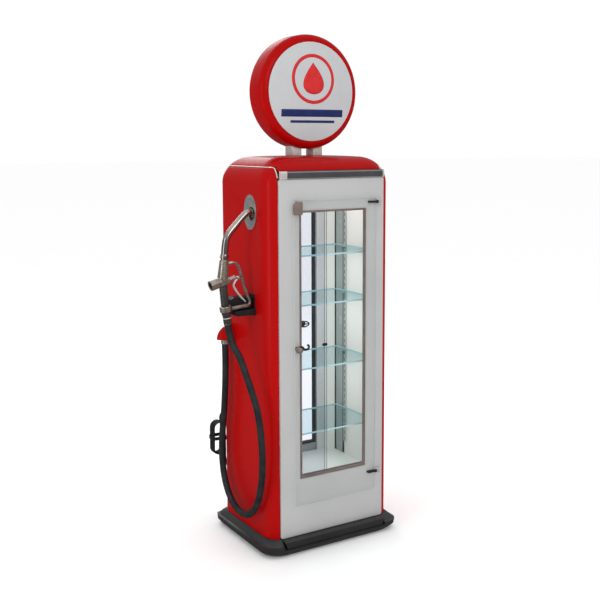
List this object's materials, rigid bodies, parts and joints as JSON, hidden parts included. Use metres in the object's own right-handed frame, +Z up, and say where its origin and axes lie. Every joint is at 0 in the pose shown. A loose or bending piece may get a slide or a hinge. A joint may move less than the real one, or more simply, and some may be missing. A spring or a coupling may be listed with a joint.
{
  "type": "gas pump display cabinet",
  "caption": "Retro gas pump shaped display cabinet with a glazed shelved showcase, round top globe, side-hung nozzle and black hose.",
  "frame": {"origin": "on the floor, at the centre of the cabinet body seen from above", "axes": "+Z up, the glazed front faces -Y, the nozzle and hose hang on the -X side"},
  "size_m": [0.7157, 0.4926, 1.8415],
  "materials": {
    "red_enamel": "gloss",
    "panel_grey": "satin",
    "base_black": "satin",
    "lining_white": "satin",
    "trim_chrome": "polished",
    "frame_bronze": "anodised satin",
    "clear_glass": "clear",
    "upright_steel": "satin",
    "hinge_black": "matt",
    "black_plastic": "matt",
    "rear_frame": "anodised black",
    "opal": "gloss",
    "cast_alloy": "cast",
    "rubber": "matt"
  },
  "bodies": {
    "cabinet": {"back_panel": "panel_grey", "base_plinth": "base_black", "bottom_track": "frame_bronze", "ceiling_panel": "lining_white", "floor_deck": "lining_white", "front_panel": "panel_grey", "globe_band": "red_enamel", "globe_lamp": "opal", "globe_lens_back": "opal", "globe_lens_front": "opal", "globe_lug_left": "upright_steel", "globe_lug_right": "upright_steel", "header_strip": "trim_chrome", "hinge_bracket_bottom": "panel_grey", "hinge_bracket_top": "panel_grey", "hose": "rubber", "hose_hood": "red_enamel", "inner_wall_left": "lining_white", "inner_wall_right": "lining_white", "kick_plate": "base_black", "lead": "rubber", "lead_cleat": "black_plastic", "lead_gland": "black_plastic", "lead_hank": "rubber", "lead_plug": "black_plastic", "lead_tail": "rubber", "nozzle_boot": "black_plastic", "nozzle_plate": "upright_steel", "rear_hinge": "hinge_black", "shelf_1": "clear_glass", "shelf_2": "clear_glass", "shelf_3": "clear_glass", "shelf_4": "clear_glass", "side_shell_left": "red_enamel", "side_shell_right": "red_enamel", "top_hood": "red_enamel", "trim_left": "trim_chrome", "trim_right": "trim_chrome", "upright_left_front": "upright_steel", "upright_left_rear": "upright_steel", "upright_right_front": "upright_steel", "upright_right_rear": "upright_steel", "window_frame": "frame_bronze"},
    "glass_door": {"glass_door": "clear_glass", "hinge_clip_bottom": "hinge_black", "hinge_clip_top": "hinge_black", "catch_block": "frame_bronze"},
    "door_latch": {"door_knob": "frame_bronze", "latch_hook": "hinge_black"},
    "pane_front": {"sliding_pane_front": "clear_glass", "pane_pull": "black_plastic"},
    "pane_rear": {"sliding_pane_rear": "clear_glass"},
    "rear_door": {"rear_door_frame": "rear_frame", "rear_door_glass": "clear_glass"},
    "rear_latch": {"rear_latch_ring": "hinge_black"},
    "nozzle": {"nozzle_body": "cast_alloy", "nozzle_spout": "trim_chrome", "nozzle_guard": "cast_alloy"},
    "trigger": {"nozzle_trigger": "trim_chrome"},
    "swivel": {"hose_swivel": "trim_chrome"}
  },
  "joints": [
    {"name": "door_hinge", "type": "hinge", "parent": "cabinet", "child": "glass_door", "pos_m": [0.186, -0.204, 0.745], "axis": [0, 0, 1], "range_deg": [0, 100]},
    {"name": "door_latch_turn", "type": "hinge", "parent": "glass_door", "child": "door_latch", "pos_m": [-0.15, -0.19, 0.742], "axis": [0, -1, 0], "range_deg": [0, 180]},
    {"name": "front_pane_slide", "type": "slide", "parent": "cabinet", "child": "pane_front", "axis": [1, 0, 0], "range_m": [0, 0.225]},
    {"name": "rear_pane_slide", "type": "slide", "parent": "cabinet", "child": "pane_rear", "axis": [1, 0, 0], "range_m": [0, 0.225]},
    {"name": "rear_door_hinge", "type": "hinge", "parent": "cabinet", "child": "rear_door", "pos_m": [-0.163, 0.2035, 0.743], "axis": [0, 0, 1], "range_deg": [0, 100]},
    {"name": "rear_latch_turn", "type": "hinge", "parent": "rear_door", "child": "rear_latch", "pos_m": [0.11, 0.196, 0.742], "axis": [0, 1, 0], "range_deg": [0, 90]},
    {"name": "nozzle_lift_off", "type": "slide", "parent": "cabinet", "child": "nozzle", "axis": [-1, 0, 0], "range_m": [0, 0.05]},
    {"name": "trigger_squeeze", "type": "hinge", "parent": "nozzle", "child": "trigger", "pos_m": [-0.32, -0.086, 0.996], "axis": [0, 1, 0], "range_deg": [0, 12], "stiffness_Nm_per_rad": 0.8, "springref_deg": -8.59},
    {"name": "hose_swivel_turn", "type": "hinge", "parent": "nozzle", "child": "swivel", "pos_m": [-0.368, -0.086, 0.88], "axis": [0.1414, 0, -0.9899], "range_deg": [-180, 180]}
  ]
}
